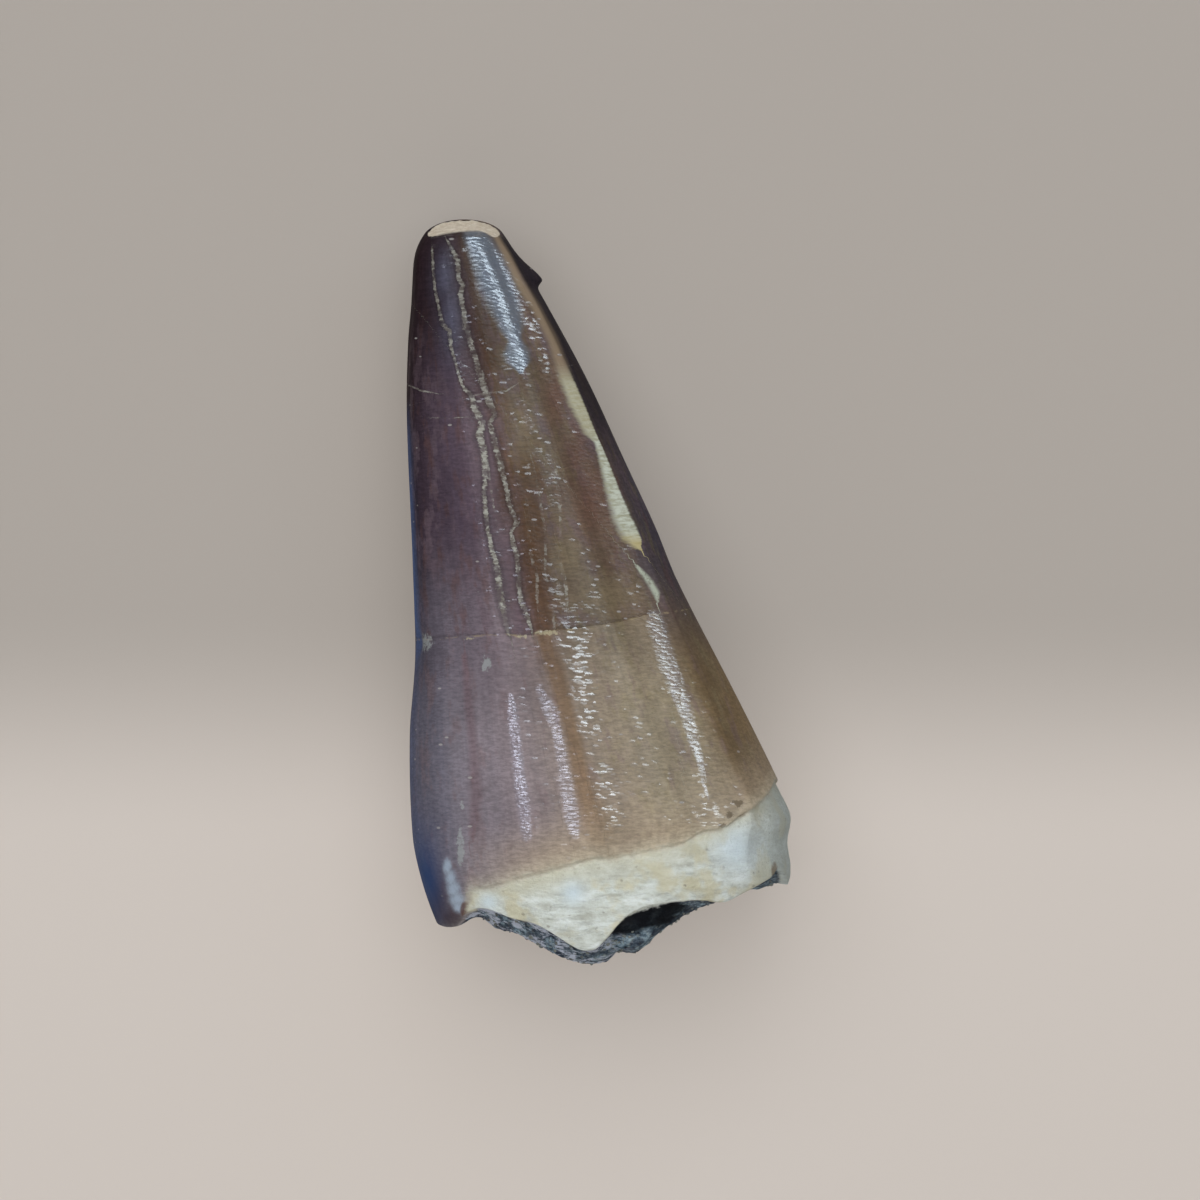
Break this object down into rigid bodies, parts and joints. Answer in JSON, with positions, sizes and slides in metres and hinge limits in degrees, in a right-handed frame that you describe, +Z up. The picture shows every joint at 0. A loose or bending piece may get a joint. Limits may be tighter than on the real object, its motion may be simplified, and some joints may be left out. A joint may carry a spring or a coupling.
{
  "type": "fossil mosasaur tooth",
  "caption": "Stout fossil marine reptile tooth, slightly curved: glossy dark brown enamel crown with cutting ridges and pale cracks, on a broken cream root stump with grey sediment in its base.",
  "frame": {"origin": "on the surface the tooth lies on, under the middle of its outline", "axes": "+Y along the tooth towards its tip, +X to the steeper cutting edge's side, +Z up out of the face that is shown"},
  "size_m": [0.031, 0.0599, 0.0233],
  "materials": {
    "fossil": "polished brown enamel over rough cream dentine, gritty grey sediment in the broken base"
  },
  "bodies": {
    "root": {"tooth": "fossil"}
  },
  "joints": []
}
